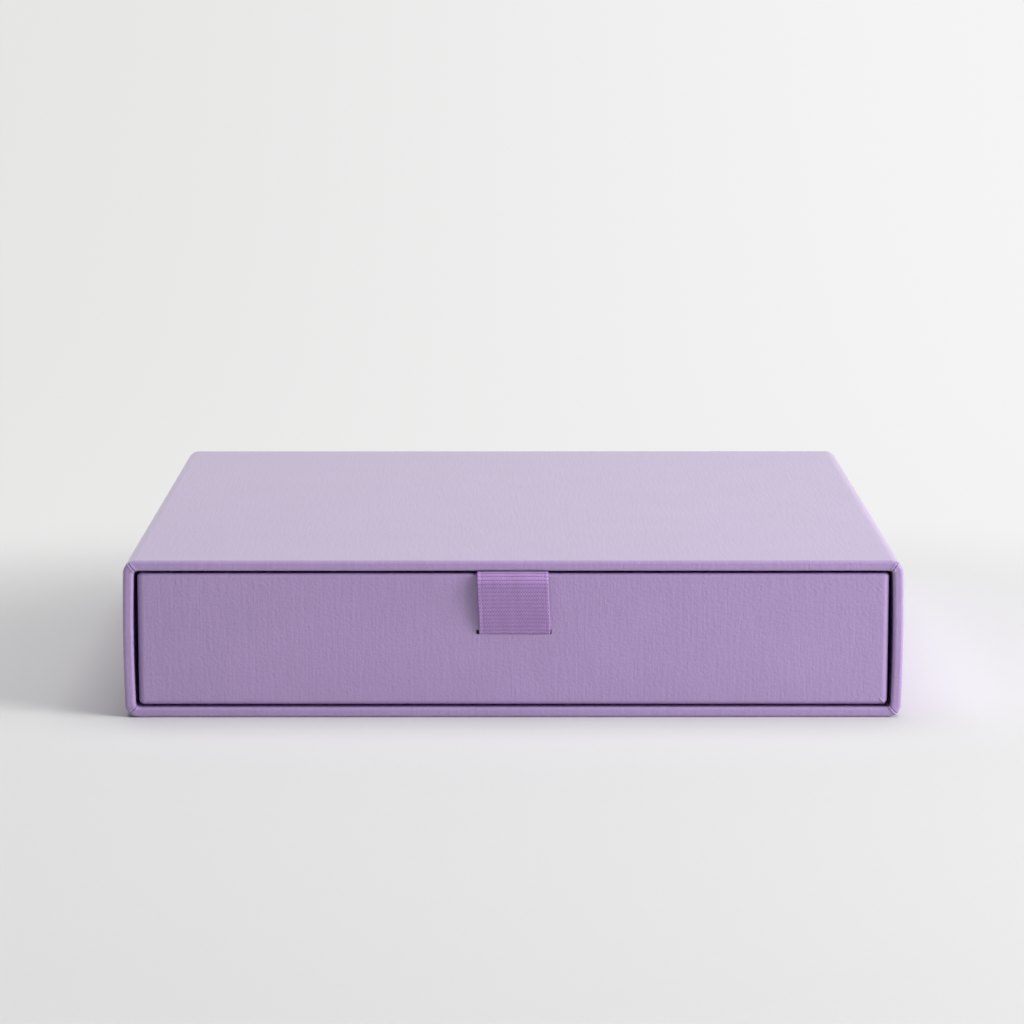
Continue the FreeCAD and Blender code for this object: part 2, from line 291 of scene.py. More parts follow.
class Graph:
    # The nodes of a material or the world; add() makes one, sets its values and joins any socket
    def __init__(self, owner):
        self.owner = bpy.data.materials.new(owner) if isinstance(owner, str) else owner
        self.owner.use_nodes = True
        self.tree = self.owner.node_tree
        self.tree.nodes.clear()

    def add(self, kind, inputs=None, **settings):
        node = self.tree.nodes.new("ShaderNode" + kind)
        for key, value in settings.items():
            setattr(node, key, value)
        for key, value in (inputs or {}).items():
            if isinstance(value, bpy.types.NodeSocket):
                self.tree.links.new(value, node.inputs[key])
            else:
                node.inputs[key].default_value = value
        return node

    # Noise stretched by a scale for each axis, in features per metre
    def noise(self, place, scale, detail, roughness, dimensions="2D"):
        placed = self.add("Mapping", {"Vector": place, "Scale": scale})
        return self.add("TexNoise", {"Vector": placed.outputs[0], "Scale": 1.0, "Detail": detail,
                                     "Roughness": roughness}, noise_dimensions=dimensions).outputs[0]

    def math(self, operation, first, second=0.0):
        return self.add("Math", {0: first, 1: second}, operation=operation).outputs[0]

    def remap(self, value, low, high, newLow, newHigh):
        return self.add("MapRange", {"Value": value, "From Min": low, "From Max": high,
                                     "To Min": newLow, "To Max": newHigh}).outputs[0]

    # The range of a noise spread over new limits
    def spread(self, noise, newLow, newHigh):
        return self.remap(noise, *noiseRange, newLow, newHigh)

    # A finish of the look's base colour, darker where the tone is under 1, with height as relief
    def surface(self, look, tone, height, more=None):
        grey = self.add("CombineColor", {0: tone, 1: tone, 2: tone})
        colour = self.add("Mix", {"Factor": 1.0, "A": (*look["base"], 1), "B": grey.outputs[0]},
                          data_type="RGBA", blend_type="MULTIPLY")
        bump = self.add("Bump", {"Height": height, "Strength": 1.0, "Distance": look["relief"]})
        return self.finish(self.add("BsdfPrincipled", {
            "Base Color": colour.outputs["Result"],
            "Roughness": look["roughness"],
            "Normal": bump.outputs[0],
            **(more or {}),
        }))

    def finish(self, shader):
        kind = "OutputWorld" if isinstance(self.owner, bpy.types.World) else "OutputMaterial"
        self.add(kind, {"Surface": shader.outputs[0]})
        return self.owner


# Threads of a linen-embossed paper: long streaks along the sheet, shorter and fainter ones across it. The
# valleys between the threads are coloured darker, a painted shade.
def linenPaper(name, look):
    graph = Graph(name)
    place = graph.add("UVMap", uv_map="lay").outputs[0]
    threads = graph.noise(place, (1 / look["threadPitch"], 1 / look["threadLength"], 1), 1.0, 0.5)
    cross = graph.noise(place, (1 / look["crossLength"], 1 / look["crossPitch"], 1), 1.5, 0.6)
    tooth = graph.noise(place, (look["tooth"], look["tooth"], 1), 2.0, 0.6)
    cloud = graph.noise(place, (look["cloud"], look["cloud"], 1), 3.0, 0.55)
    streaks = graph.spread(threads, 0.0, look["threadShare"])
    weave = graph.math("ADD", streaks, graph.spread(cross, 0.0, look["crossShare"]))
    relief = graph.math("ADD", weave, graph.spread(tooth, 0.0, look["toothShare"]))
    # painted shade: the colour is darker where the threads' relief is low
    valley = graph.remap(weave, 0.0, look["threadShare"] + look["crossShare"], look["shade"], 1.0)
    tone = graph.math("MULTIPLY", valley, graph.spread(cloud, look["cloudShade"], 1.0))
    return graph.surface(look, tone, relief, {
        "IOR": look["ior"],
        "Specular IOR Level": look["gloss"],
        "Coat Weight": 1.0,
        "Coat Roughness": look["varnishRoughness"],
    })


# Ribbon cloth: ribs across it and warp yarns along it, which show by turns as a chequer. Its colour is
# darker between the ribs and where the yarns part, a painted shade. The chequer is the product of two
# cosines of the place on the sheet.
def ribbonCloth(name, look):
    graph = Graph(name)
    place = graph.add("UVMap", uv_map="lay").outputs[0]
    apart = graph.add("SeparateXYZ", {0: place}).outputs

    def wave(distance, pitch):
        angle = graph.math("MULTIPLY", distance, 2 * np.pi / ribbonPull[pitch])
        return graph.math("COSINE", angle)

    along = wave(apart[1], "ribPitch")
    chequer = graph.math("MULTIPLY", wave(apart[0], "dotPitch"), along)
    fuzz = graph.noise(place, (look["fuzz"], look["fuzz"], 1), 2.0, 0.6)
    wander = graph.noise(place, (*look["wander"], 1), 2.0, 0.6)
    # painted shade between the ribs and where the yarns part
    rib = graph.remap(along, *look["ribRange"], look["shade"], 1.0)
    yarn = graph.remap(chequer, *look["yarnRange"], look["dotShade"], 1.0)
    fromBend = graph.math("ABSOLUTE", graph.math("SUBTRACT", apart[1], ribbonPull["bendAt"]))
    reach = ribbonPull["bendReach"]
    # painted highlight: paler colour over the bend at the rim
    bendHighlight = graph.remap(fromBend, 0.5 * reach, reach, look["paintedBendHighlight"], 1.0)
    # painted shade: darker between the ribs over the bend
    power = graph.remap(fromBend, 0.5 * reach, reach, look["bendShadePower"], 1.0)
    rib = graph.math("POWER", rib, power)
    selvedgeAt = (ribbonHigh[0] - ribbonLow[0]) / 2 - ribbonPull["selvedge"]
    edge = graph.remap(graph.math("ABSOLUTE", apart[0]), selvedgeAt,
                       selvedgeAt + look["edgeBlend"], 1.0, look["edgePaler"])
    tone = graph.spread(wander, look["wanderDark"], look["wanderPale"])
    for factor in (rib, yarn, bendHighlight, edge):
        tone = graph.math("MULTIPLY", tone, factor)
    height = graph.math("ADD", chequer, graph.spread(fuzz, 0.0, look["fuzzShare"]))
    return graph.surface(look, tone, height, {
        "Sheen Weight": look["sheen"],
        "Sheen Roughness": look["sheenRoughness"],
    })


# Lining paper, greyboard or gummed tape: the tone is the product of its layers of fibre, and the
# first layer is its relief
def fibrousStock(name, look):
    graph = Graph(name)
    place = graph.add("TexCoord").outputs["Object"]
    noises = [graph.noise(place, layer["scale"], layer["detail"], layer["rough"], "3D")
              for layer in look["layers"]]
    tone = 1.0
    for noise, layer in zip(noises, look["layers"]):
        low, high = layer.get("range", noiseRange)
        tone = graph.math("MULTIPLY", tone, graph.remap(noise, low, high, layer["dark"], layer["pale"]))
    return graph.surface(look, tone, noises[0])


sleeveCover = {
    "bow": 0.4 * mm,  # the swell of each side past its corners
    "fold": 3.7 * mm,  # radius of the four long folds
    "lip": 1.05 * mm,  # radius of the outer edge at the front and back
    "mouth": 0.95 * mm,  # radius of the inner edge of the mouth
    "turnIn": 15 * mm,
    "turnOver": 12 * mm,
    "waver": 0.008 * mm,  # unevenness of the lip
    "seamDepth": 0.29 * mm,  # of the valley where the paper meets at each corner of the mouth
    "seamWidth": 0.17 * mm,
    "swell": 0.18 * mm,  # how far the folded layers stand out beside the valley
    "swellWidth": 0.8 * mm,
    "ridgeAt": 0.42 * mm,  # the overlap's place beside the seam
    "ridgeWidth": 0.26 * mm,
    "pleatPitch": 0.62 * mm,
    "pleatsAt": 1.6 * mm,
    "pleatsWidth": 1.1 * mm,
    "tuckArc": 1.1 * mm,  # the least radius that a tuck is measured on
    "tuckFade": (-0.3 * mm, 1.6 * mm),  # where the tucks fade out behind the lip, outside
    "mouthFade": (1 * mm, 9 * mm),  # and on the turn-in, where a part of them stays
    "mouthStays": 0.4,
    "waverSines": [(1.0, 41, 0.0), (0.7, 113, 1.1), (0.4, 290, 2.3)],  # size, radians per metre, phase
    "waverReach": 2.5 * mm,
    "mitreDepth": 0.12 * mm,
    "closeReach": 4 * mm,  # points lie close together this far from each corner
    "closeSteps": 22,
}
mitreWidth = 0.2 * mm  # of the valley where two turned flaps meet
mitreReach = 3 * mm  # how far inside the corner it starts

# How the paper is tucked at each corner of the mouth: seam is its place round the fold from 0 to 1,
# ridge the height of the overlap, ridgeSide which side of the seam it lies, pleats their depth
cornerTucks = {
    1: {"seam": 0.38, "ridge": 0.04 * mm, "ridgeSide": -1, "pleats": 0.012 * mm},
    3: {"seam": 0.52, "ridge": 0.10 * mm, "ridgeSide": 1, "pleats": 0.010 * mm},
    5: {"seam": 0.50, "ridge": 0.04 * mm, "ridgeSide": 1, "pleats": 0.012 * mm},
    7: {"seam": 0.60, "ridge": 0.08 * mm, "ridgeSide": -1, "pleats": 0.030 * mm},
}


# A side's share from 0 to 1, close together near both ends, with points at the given places
def sideShares(look, length, openSteps, places=()):
    near, closeSteps = look["closeReach"] / length, look["closeSteps"]
    marks = np.concatenate([[near], places, [1 - near]])
    runs = [np.linspace(0, near, closeSteps, endpoint=False)]
    for start, end in zip(marks[:-1], marks[1:]):
        runs.append(np.linspace(start, end, max(2, int(openSteps * (end - start))), endpoint=False))
    runs.append(np.linspace(1 - near, 1, closeSteps, endpoint=False))
    return np.concatenate(runs)


# Eight stretches round a piece, sides and corners by turns: the number of each point's stretch and
# its share of the way along it
def stretchesRound(first, side, opposite, cornerSteps):
    corner = np.linspace(0, 1, cornerSteps, endpoint=False)
    shares = [first, corner, side, corner, opposite, corner, side, corner]
    part = np.concatenate([np.full(len(each), number) for number, each in enumerate(shares)])
    return part, np.concatenate(shares)


# Distance round a piece from a seam at a share of one corner's arc, and which points lie in that
# corner or on a side beside it
def fromCorner(number, seam, part, share, lengths, arc):
    before, after = number - 1, (number + 1) % 8
    distance = (share - seam) * arc
    distance = np.where(part == before, (share - 1) * lengths[before] - seam * arc, distance)
    distance = np.where(part == after, share * lengths[after] + (1 - seam) * arc, distance)
    return distance, (part == number) | (part == before) | (part == after)


# Distance round a piece in metres, and the whole of it: x along the first side and back along the one
# opposite, down along the two between, which is 0 at their middle, and an even blend of the two
# across each corner
def distanceRound(part, share, x, down, lengths, arc):
    first, side = lengths[0], lengths[2]
    total = 2 * (first + side) + 4 * arc
    flat = np.select([part == 0, part == 2, part == 4],
                     [0.5 * first + x, first + arc + 0.5 * side + down, 1.5 * first + 2 * arc + side - x],
                     2 * first + 3 * arc + 1.5 * side - down)
    around = flat.copy()
    for number in (1, 3, 5, 7):
        corner = np.nonzero(part == number)[0]
        before = flat[:, corner[0] - 1]
        after = flat[:, (corner[-1] + 1) % len(part)] + (total if number == 7 else 0)
        around[:, corner] = before[:, None] + (after - before)[:, None] * share[corner]
    return around, total


# The UV map of a closed sheet: the distance round it and the distance along its outline
def closedLay(around, total, outline):
    lay = np.zeros((around.shape[0] + 1, around.shape[1] + 1, 2))
    lay[:-1, :-1, 0] = around
    lay[-1, :-1, 0] = around[0]
    lay[:, -1, 0] = total
    lay[:, :, 1] = lengthAlong(outline)[:, None]
    return lay


# The sleeve's outline across its depth, taken in by an inset: level top and bottom, sides that swell
# as arcs of a large circle, and corner circles that touch both. part counts round the eight
# stretches from the top; half a turn carries the first four onto the last four.
def sleeveSection(inset, part, share):
    bow = sleeveCover["bow"]
    half = (sleeveHigh[2] - sleeveLow[2]) / 2 - inset
    fold = np.maximum(sleeveCover["fold"] - inset, stock["sharpest"])
    sideRadius = (half ** 2 + bow ** 2) / (2 * bow)
    sideX = sleeveHigh[0] - inset - sideRadius
    rise = half - fold
    apart = sideRadius - fold
    cornerX = sideX + np.sqrt(apart ** 2 - rise ** 2)
    lean = np.arcsin(rise / apart)
    stretch = part % 4
    turn = np.select([stretch == 1, stretch == 2, stretch == 3],
                     [quarterTurn + (lean - quarterTurn) * share, lean * (1 - 2 * share),
                      -lean + (lean - quarterTurn) * share], quarterTurn + 0 * share)
    centreX = np.select([stretch == 0, stretch == 2], [cornerX * (2 * share - 1), sideX], cornerX)
    centreZ = np.select([stretch == 2, stretch == 3], [0 * rise, -rise], rise)
    radius = np.where(stretch == 2, sideRadius, fold)
    way = np.where(part < 4, 1, -1)
    x = way * (centreX + radius * np.cos(turn))
    z = way * (centreZ + radius * np.sin(turn)) + (sleeveLow[2] + sleeveHigh[2]) / 2
    return x, z, cornerX, rise


# The paper's own outline from the turn-in, round the lip, along the outside and over the back, then
# back along its glued side. The first number of a point is y, the second is the inset.
def sleeveOutline():
    look = sleeveCover
    paper = stock["cover"]
    first, last = sleeveLow[1], sleeveHigh[1]
    turned = stock["sleeveBoard"] + 2 * paper
    lip, mouth = look["lip"], look["mouth"]
    turnInEnd = first + look["turnIn"]
    windowFront = first + look["turnOver"]
    windowBack = last - look["turnOver"]
    return traceOutline({
        "turnIn": (8, (turnInEnd, turned)),
        "turnInFront": (12, (first + 3 * mm, turned)),
        "mouth": (9, (first + mouth, turned - mouth), mouth, quarterTurn, halfTurn),
        "lipFace": (16, (first, turned - mouth)),
        "lip": (11, (first + lip, lip), lip, halfTurn, 3 * quarterTurn),
        "outsideFront": (14, (first + lip, 0)),
        "outsideToWindow": (6, (first + 4 * mm, 0)),
        "window": (12, (windowFront, 0)),
        "outsideBack": (10, (windowBack, 0)),
        "backEdge": (10, (last - lip, lip), lip, 3 * quarterTurn, 4 * quarterTurn),
        "overBack": (24, (last, lip)),
        "overEnd": (1, (last, look["turnOver"])),
        "underBack": (6, (last - paper, look["turnOver"])),
        "underBackEdge": (5, (last - lip, lip), lip - paper, 0, -quarterTurn),
        "underOutsideBack": (3, (last - lip, paper)),
        "underWindow": (12, (windowBack, paper)),
        "underOutsideFront": (3, (windowFront, paper)),
        "underLip": (5, (first + lip, lip), lip - paper, 3 * quarterTurn, halfTurn),
        "underLipFace": (3, (first + paper, lip)),
        "underMouth": (4, (first + mouth, turned - mouth), mouth - paper, halfTurn, quarterTurn),
        "underTurnIn": (5, (first + mouth, turned - paper)),
        "inEnd": (1, (turnInEnd, turned - paper)),
    })


# Height of the tucked paper off its smooth surface: a wide bell for the folded layers, cut by a
# seam that is a narrow bell, a bell beside it for the overlap, and a sine of pleats under a bell
def tuckHeight(tuck, fromSeam):
    look = sleeveCover
    swell = look["swell"] * bell(fromSeam, look["swellWidth"])
    seam = -look["seamDepth"] * bell(fromSeam, look["seamWidth"])
    ridge = tuck["ridge"] * bell(tuck["ridgeSide"] * fromSeam - look["ridgeAt"], look["ridgeWidth"])
    pleats = tuck["pleats"] * np.sin(2 * np.pi * fromSeam / look["pleatPitch"])
    return swell + seam + ridge + pleats * bell(fromSeam - look["pleatsAt"], look["pleatsWidth"])


def makeSleeveCover(material):
    look = sleeveCover
    outline, starts = sleeveOutline()
    normals = outlineNormals(outline)
    width = sleeveHigh[0] - sleeveLow[0]
    height = sleeveHigh[2] - sleeveLow[2]
    levelLength = width - 2 * (look["fold"] + look["bow"])
    sideLength = height - 2 * look["fold"]
    windowShare = (levelLength / 2 - (width / 2 - look["turnOver"])) / levelLength
    level = sideShares(look, levelLength, 30)
    base = sideShares(look, levelLength, 30, [windowShare, 1 - windowShare])
    side = sideShares(look, sideLength, 14)
    part, share = stretchesRound(level, side, base, 72)
    lengths = [levelLength, 0, sideLength, 0] * 2

    row = np.arange(len(outline))[:, None]
    y = outline[:, :1] + 0 * share
    inset = outline[:, 1:] + 0 * share
    x, z, cornerX, rise = sleeveSection(inset, part, share)

    # the tucks run down the corners of the lip and fade out along the outside and the turn-in
    fromFront = y - sleeveLow[1]
    tucked = 1 - smooth(*look["tuckFade"], fromFront - look["lip"])
    inMouth = (inset > look["lip"]) & (y < 0)
    tucked = np.where(inMouth, 1 - (1 - look["mouthStays"]) * smooth(*look["mouthFade"], fromFront), tucked)
    heightOff = np.zeros_like(y)
    foldArc = np.maximum(look["fold"] - inset, look["tuckArc"]) * quarterTurn
    for number, tuck in cornerTucks.items():
        fromSeam, near = fromCorner(number, tuck["seam"], part, share, lengths, foldArc)
        heightOff += np.where(near, tuckHeight(tuck, fromSeam), 0) * tucked

    # the lip is hand-folded, so it wavers inward: three sines, less 1 each, of the distance round it
    around, total = distanceRound(part, share, x, height / 2 + sleeveLow[2] - z, lengths,
                                  look["fold"] * quarterTurn)
    waver = sum(size * (np.sin(around * rate + phase) - 1) for size, rate, phase in look["waverSines"])
    heightOff += look["waver"] * waver * bell(fromFront, look["waverReach"])

    # the flaps turned over the back meet at a mitre: a valley along the diagonal of each corner
    onBack = row >= starts["overBack"]
    diagonal = np.abs(np.abs(x) - cornerX) - np.abs(np.abs(z - height / 2) - rise)
    nearCorner = np.abs(x) > cornerX - mitreReach
    heightOff -= look["mitreDepth"] * bell(diagonal, mitreWidth) * onBack * nearCorner
    heightOff = heightOff * (row < starts["overEnd"])

    y = y + heightOff * normals[:, :1]
    inset = inset + heightOff * normals[:, 1:]
    x, z = sleeveSection(inset, part, share)[:2]
    points = np.stack([x, y, z], axis=2)

    firstBase = np.nonzero(part == 4)[0][0]
    left, right = (firstBase + nearest(base, place) for place in (windowShare, 1 - windowShare))
    window = (starts["window"], starts["outsideBack"], starts["underWindow"], left, right)
    piece = ringMesh("sleeveCover", points, closedLay(around, total, outline), window)
    dress(piece, material, "cover_paper", "sleeve", "sleeve_wrap")


drawerCover = {
    "corner": 1.8 * mm,  # radius of the upright edges
    "base": 1.5 * mm,  # and of the edges under the floor
    "rim": 1.0 * mm,  # radius of both edges of the rim
    "turnIn": 14 * mm,
    "turnUnder": 12 * mm,
    "slitDrop": 16 * mm,  # from the rim down to the slit
    "slitHeight": 1.3 * mm,
    "slitLeft": -10.35 * mm,  # the paper is slit a little right of the middle
    "slitRight": 10.75 * mm,
    "slitRim": 0.2 * mm,  # the paper is flat again this far from the slit
    "creaseDepth": 0.10 * mm,  # little folds where the paper turns under at the corners
    "creaseOff": 1.0 * mm,  # how far outside the corner a crease starts
    "creaseWidth": 0.15 * mm,
    "creaseStart": (-0.7 * mm, 0.0),  # it shows between these, down round the lower edge
    "creaseEnd": (1.4 * mm, 2.2 * mm),
    "ear": 0.6,  # height of the folded ear beside a crease, in crease depths
    "earAtRight": 2.2,  # and of the one at the front right corner
    "earOff": 0.42 * mm,
    "earWidth": 0.26 * mm,
    "nick": 0.8,  # depth of the nick in each corner's rim, in crease depths
    "nickWidth": 0.14 * mm,
    "nickAt": 0.6 * mm,
    "nickReach": 1.1 * mm,
    "mitreDepth": 0.10 * mm,
    "closeReach": 3 * mm,
    "closeSteps": 16,
}


# The drawer's plan, taken in by an inset: straight sides joined by quarter circles
def drawerSection(inset, part, share):
    radius = np.maximum(drawerCover["corner"] - inset, stock["sharpest"])
    halfX = (drawerHigh[0] - drawerLow[0]) / 2 - inset - radius
    halfY = (drawerHigh[1] - drawerLow[1]) / 2 - inset - radius
    stretch = part % 4
    turn = np.select([stretch == 1, stretch == 2, stretch == 3],
                     [quarterTurn * (share - 1), 0 * share, quarterTurn * share], -quarterTurn + 0 * share)
    centreX = np.where(stretch == 0, halfX * (2 * share - 1), halfX)
    centreY = np.select([stretch == 2, stretch == 3], [halfY * (2 * share - 1), halfY], -halfY)
    way = np.where(part < 4, 1, -1)
    x = way * (centreX + radius * np.cos(turn))
    y = way * (centreY + radius * np.sin(turn)) + (drawerLow[1] + drawerHigh[1]) / 2
    return x, y, halfX, halfY


# The paper's outline from the turn-in, over the rim, down the outside and under the floor, and
# back along its glued side. The first number of a point is z, the second is the inset.
def drawerOutline():
    look = drawerCover
    paper = stock["cover"]
    base, top = drawerLow[2], drawerHigh[2]
    turned = stock["drawerBoard"] + 2 * paper
    rim, corner, slitRim = look["rim"], look["base"], look["slitRim"]
    slitTop = top - look["slitDrop"]
    slitBase = slitTop - look["slitHeight"]
    turnInEnd = top - look["turnIn"]
    return traceOutline({
        "turnIn": (12, (turnInEnd, turned)),
        "innerRim": (10, (top - rim, turned - rim), rim, quarterTurn, 0),
        "rimTop": (4, (top, turned - rim)),
        "outerRim": (10, (top - rim, rim), rim, 0, -quarterTurn),
        "belowRim": (10, (top - rim, 0)),
        "aboveSlit": (10, (top - 4 * mm, 0)),
        "slitBrow": (2, (slitTop + slitRim, 0)),
        "slit": (5, (slitTop, 0)),
        "slitSill": (2, (slitBase, 0)),
        "belowSlit": (10, (slitBase - slitRim, 0)),
        "aboveBase": (18, (base + 4 * mm, 0)),
        "baseEdge": (14, (base + corner, corner), corner, -quarterTurn, -halfTurn),
        "under": (16, (base, corner)),
        "underEnd": (1, (base, look["turnUnder"])),
        "gluedUnder": (4, (base + paper, look["turnUnder"])),
        "gluedBaseEdge": (6, (base + corner, corner), corner - paper, -halfTurn, -quarterTurn),
        "gluedBelowSlit": (4, (base + corner, paper)),
        "gluedSlit": (5, (slitBase, paper)),
        "gluedAboveSlit": (4, (slitTop, paper)),
        "gluedOuterRim": (5, (top - rim, rim), rim - paper, -quarterTurn, 0),
        "gluedRimTop": (2, (top - paper, rim)),
        "gluedInnerRim": (5, (top - rim, turned - rim), rim - paper, 0, quarterTurn),
        "gluedTurnIn": (4, (top - rim, turned - paper)),
        "inEnd": (1, (turnInEnd, turned - paper)),
    })


def makeDrawerCover(material):
    look = drawerCover
    outline, starts = drawerOutline()
    normals = outlineNormals(outline)
    frontLength = drawerHigh[0] - drawerLow[0] - 2 * look["corner"]
    sideLength = drawerHigh[1] - drawerLow[1] - 2 * look["corner"]
    rim = look["slitRim"]
    slitPlaces = [0.5 + (look[end] + off) / frontLength
                  for end in ("slitLeft", "slitRight") for off in (-rim, 0, rim)]
    front = sideShares(look, frontLength, 90, slitPlaces)
    rear = sideShares(look, frontLength, 24)
    side = sideShares(look, sideLength, 24)
    part, share = stretchesRound(front, side, rear, 28)

    row = np.arange(len(outline))[:, None]
    z = outline[:, :1] + 0 * share
    inset = outline[:, 1:] + 0 * share
    arc = look["corner"] * quarterTurn
    lengths = [frontLength, 0, sideLength, 0] * 2

    # at each lower corner the paper is tucked along a slanting crease with a low ear beside it
    heightOff = np.zeros_like(z)
    run = lengthAlong(outline)[:-1, None]
    fromBaseEdge = run - run[starts["baseEdge"]]
    fromRim = run[starts["rimTop"]] - run
    shown = smooth(*look["creaseStart"], fromBaseEdge) * (1 - smooth(*look["creaseEnd"], fromBaseEdge))
    atRim = bell(fromRim + look["nickAt"], look["nickReach"])
    for number in (1, 3, 5, 7):
        around, near = fromCorner(number, 0.5, part, share, lengths, arc)
        towardsFace = around if number in (1, 5) else -around
        crease = towardsFace + look["creaseOff"] - fromBaseEdge
        ear = look["earAtRight"] if number == 1 else look["ear"]
        fold = ear * bell(crease + look["earOff"], look["earWidth"]) - bell(crease, look["creaseWidth"])
        nick = look["nick"] * bell(around, look["nickWidth"]) * atRim
        heightOff += np.where(near, look["creaseDepth"] * (fold * shown - nick), 0)

    # under the floor the turned flaps meet at a mitre
    x, y, halfX, halfY = drawerSection(inset, part, share)
    middleY = (drawerLow[1] + drawerHigh[1]) / 2
    diagonal = (np.abs(x) - halfX) - (np.abs(y - middleY) - halfY)
    isUnder = row > starts["under"]
    nearCorner = np.abs(x) > halfX - mitreReach
    heightOff -= look["mitreDepth"] * bell(diagonal, mitreWidth) * isUnder * nearCorner
    heightOff = heightOff * (row < starts["underEnd"])

    z = z + heightOff * normals[:, :1]
    inset = inset + heightOff * normals[:, 1:]
    x, y = drawerSection(inset, part, share)[:2]
    points = np.stack([x, y, z], axis=2)

    around, total = distanceRound(part, share, x, y - middleY, lengths, arc)
    left, right = (nearest(front, slitPlaces[place]) for place in (1, 4))
    window = (starts["slit"], starts["slitSill"], starts["gluedSlit"], left, right)
    piece = ringMesh("drawerCover", points, closedLay(around, total, outline), window)
    dress(piece, material, "cover_paper", "drawer", "drawer_wrap")


ribbonPull = {
    "thickness": 0.4 * mm,
    "length": 48.1 * mm,  # glued end to glued end
    "ribPitch": 1.12 * mm,
    "ribDepth": 0.10 * mm,
    "ribSteps": 8,
    "dotPitch": 0.74 * mm,
    "dotDepth": 0.07 * mm,
    "acrossSteps": 130,
    "selvedge": 1.1 * mm,
    "selvedgeBlend": (0.6, 1.2),  # it passes into the body between these, in selvedge widths
    "rimRadius": 0.9 * mm,
    "turn": 0.5 * mm,  # inside radius of its bend at the slit
    "slitGap": 0.35 * mm,  # and how far its back stands off the drawer there
    "bulge": 0.45 * mm,  # how far the stiff cloth bows out between the rim and the slit
    "hump": 0.36 * mm,  # it rises this much where it comes out from under the sleeve's lip
    "humpAt": 0.3 * mm,
    "humpWidth": 0.9 * mm,
    "bendAt": 16.0 * mm,  # the middle of the bend over the rim, from the ribbon's upper end
    "bendReach": 2.6 * mm,
    "bendRibs": 0.9,  # how much deeper the ribs are over it
    "slitLip": 0.5 * mm,  # radius of the slit's lower edge inside the drawer
    "upperTail": 12 * mm,
    "driftTop": -0.15 * mm,  # it leaves the rim a little to the left
    "driftSlit": 0.42 * mm,  # and meets the slit a little to the right
    "driftDrop": 1.0 * mm,  # the drift starts this far under the rim
    "crowd": 0.12,  # how much its points crowd towards its edges
    "crestPower": 0.6,  # under 1 it makes broad ribs and narrow valleys
    "selvedgeRibs": 0.45,  # share of the ribs' depth that the selvedges have
    "grooveDepth": 0.06 * mm,  # between body and selvedge
    "grooveWidth": 0.14 * mm,
    "edgeRound": 0.22 * mm,  # the edges are rounded over this far, as a quarter circle
    "edgeLeast": 0.02,  # the least square of that circle's height, which keeps the faces apart
    "edgeLoops": 0.05 * mm,  # small loops of weft along the edges
    "edgeLoopsReach": 0.3 * mm,
}


# Side view of the loop, from its upper glued end to its lower one: u is out from the drawer's face
# and z is height. It goes up inside, over the rim in a wide bend, straight down to the slit, in along
# the slit's lower edge and down inside. The straight run touches the arcs at its ends. Half a sine
# bows it out on the way down, and a bell lifts the wide bend where it leaves the sleeve.
def ribbonPath():
    look = ribbonPull
    half = look["thickness"] / 2
    top = drawerHigh[2]
    rim = look["rimRadius"]
    wallIn = drawerLow[1] - patchLow[1]
    standoff = drawerLow[1] - ribbonLow[1] - look["thickness"]
    slitBase = top - drawerCover["slitDrop"] - drawerCover["slitHeight"]
    lip = look["slitLip"]
    bendRadius = standoff + rim + half
    bendZ = top + half - bendRadius
    turnRadius = look["turn"] + half
    turnU, turnZ = look["slitGap"] - look["turn"], slitBase + half + turnRadius
    across, down = turnU + rim, turnZ - bendZ
    runAngle = np.arctan2(down, across) + np.arccos((bendRadius - turnRadius) / np.hypot(across, down))
    reach = np.array([np.cos(runAngle), np.sin(runAngle)])
    path = traceOutline({
        "upperTail": (60, (wallIn - half, top - look["upperTail"])),
        "innerRim": (30, (wallIn + rim, top - rim), rim + half, halfTurn, quarterTurn),
        "overRim": (10, (wallIn + rim, top + half)),
        "wideBend": (60, (-rim, bendZ), bendRadius, quarterTurn, runAngle),
        "down": (120, (-rim, bendZ) + bendRadius * reach),
        "turn": (30, (turnU, turnZ), turnRadius, runAngle, -quarterTurn),
        "intoSlit": (10, (turnU, slitBase + half)),
        "slitLip": (30, (wallIn + lip, slitBase - lip), lip + half, quarterTurn, halfTurn),
        "lowerTail": (60, (wallIn - half, slitBase - lip)),
        "end": (1, (wallIn - half, ribbonLow[2])),
    })[0]
    fallen = np.clip((bendZ - path[:, 1]) / (bendZ - turnZ), 0, 1)
    path[:, 0] += look["bulge"] * np.sin(np.pi * fallen) * (path[:, 0] > 0)
    raised = bell(path[:, 0] - look["humpAt"], look["humpWidth"]) * smooth(bendZ, top, path[:, 1])
    path[:, 1] += look["hump"] * raised
    return path


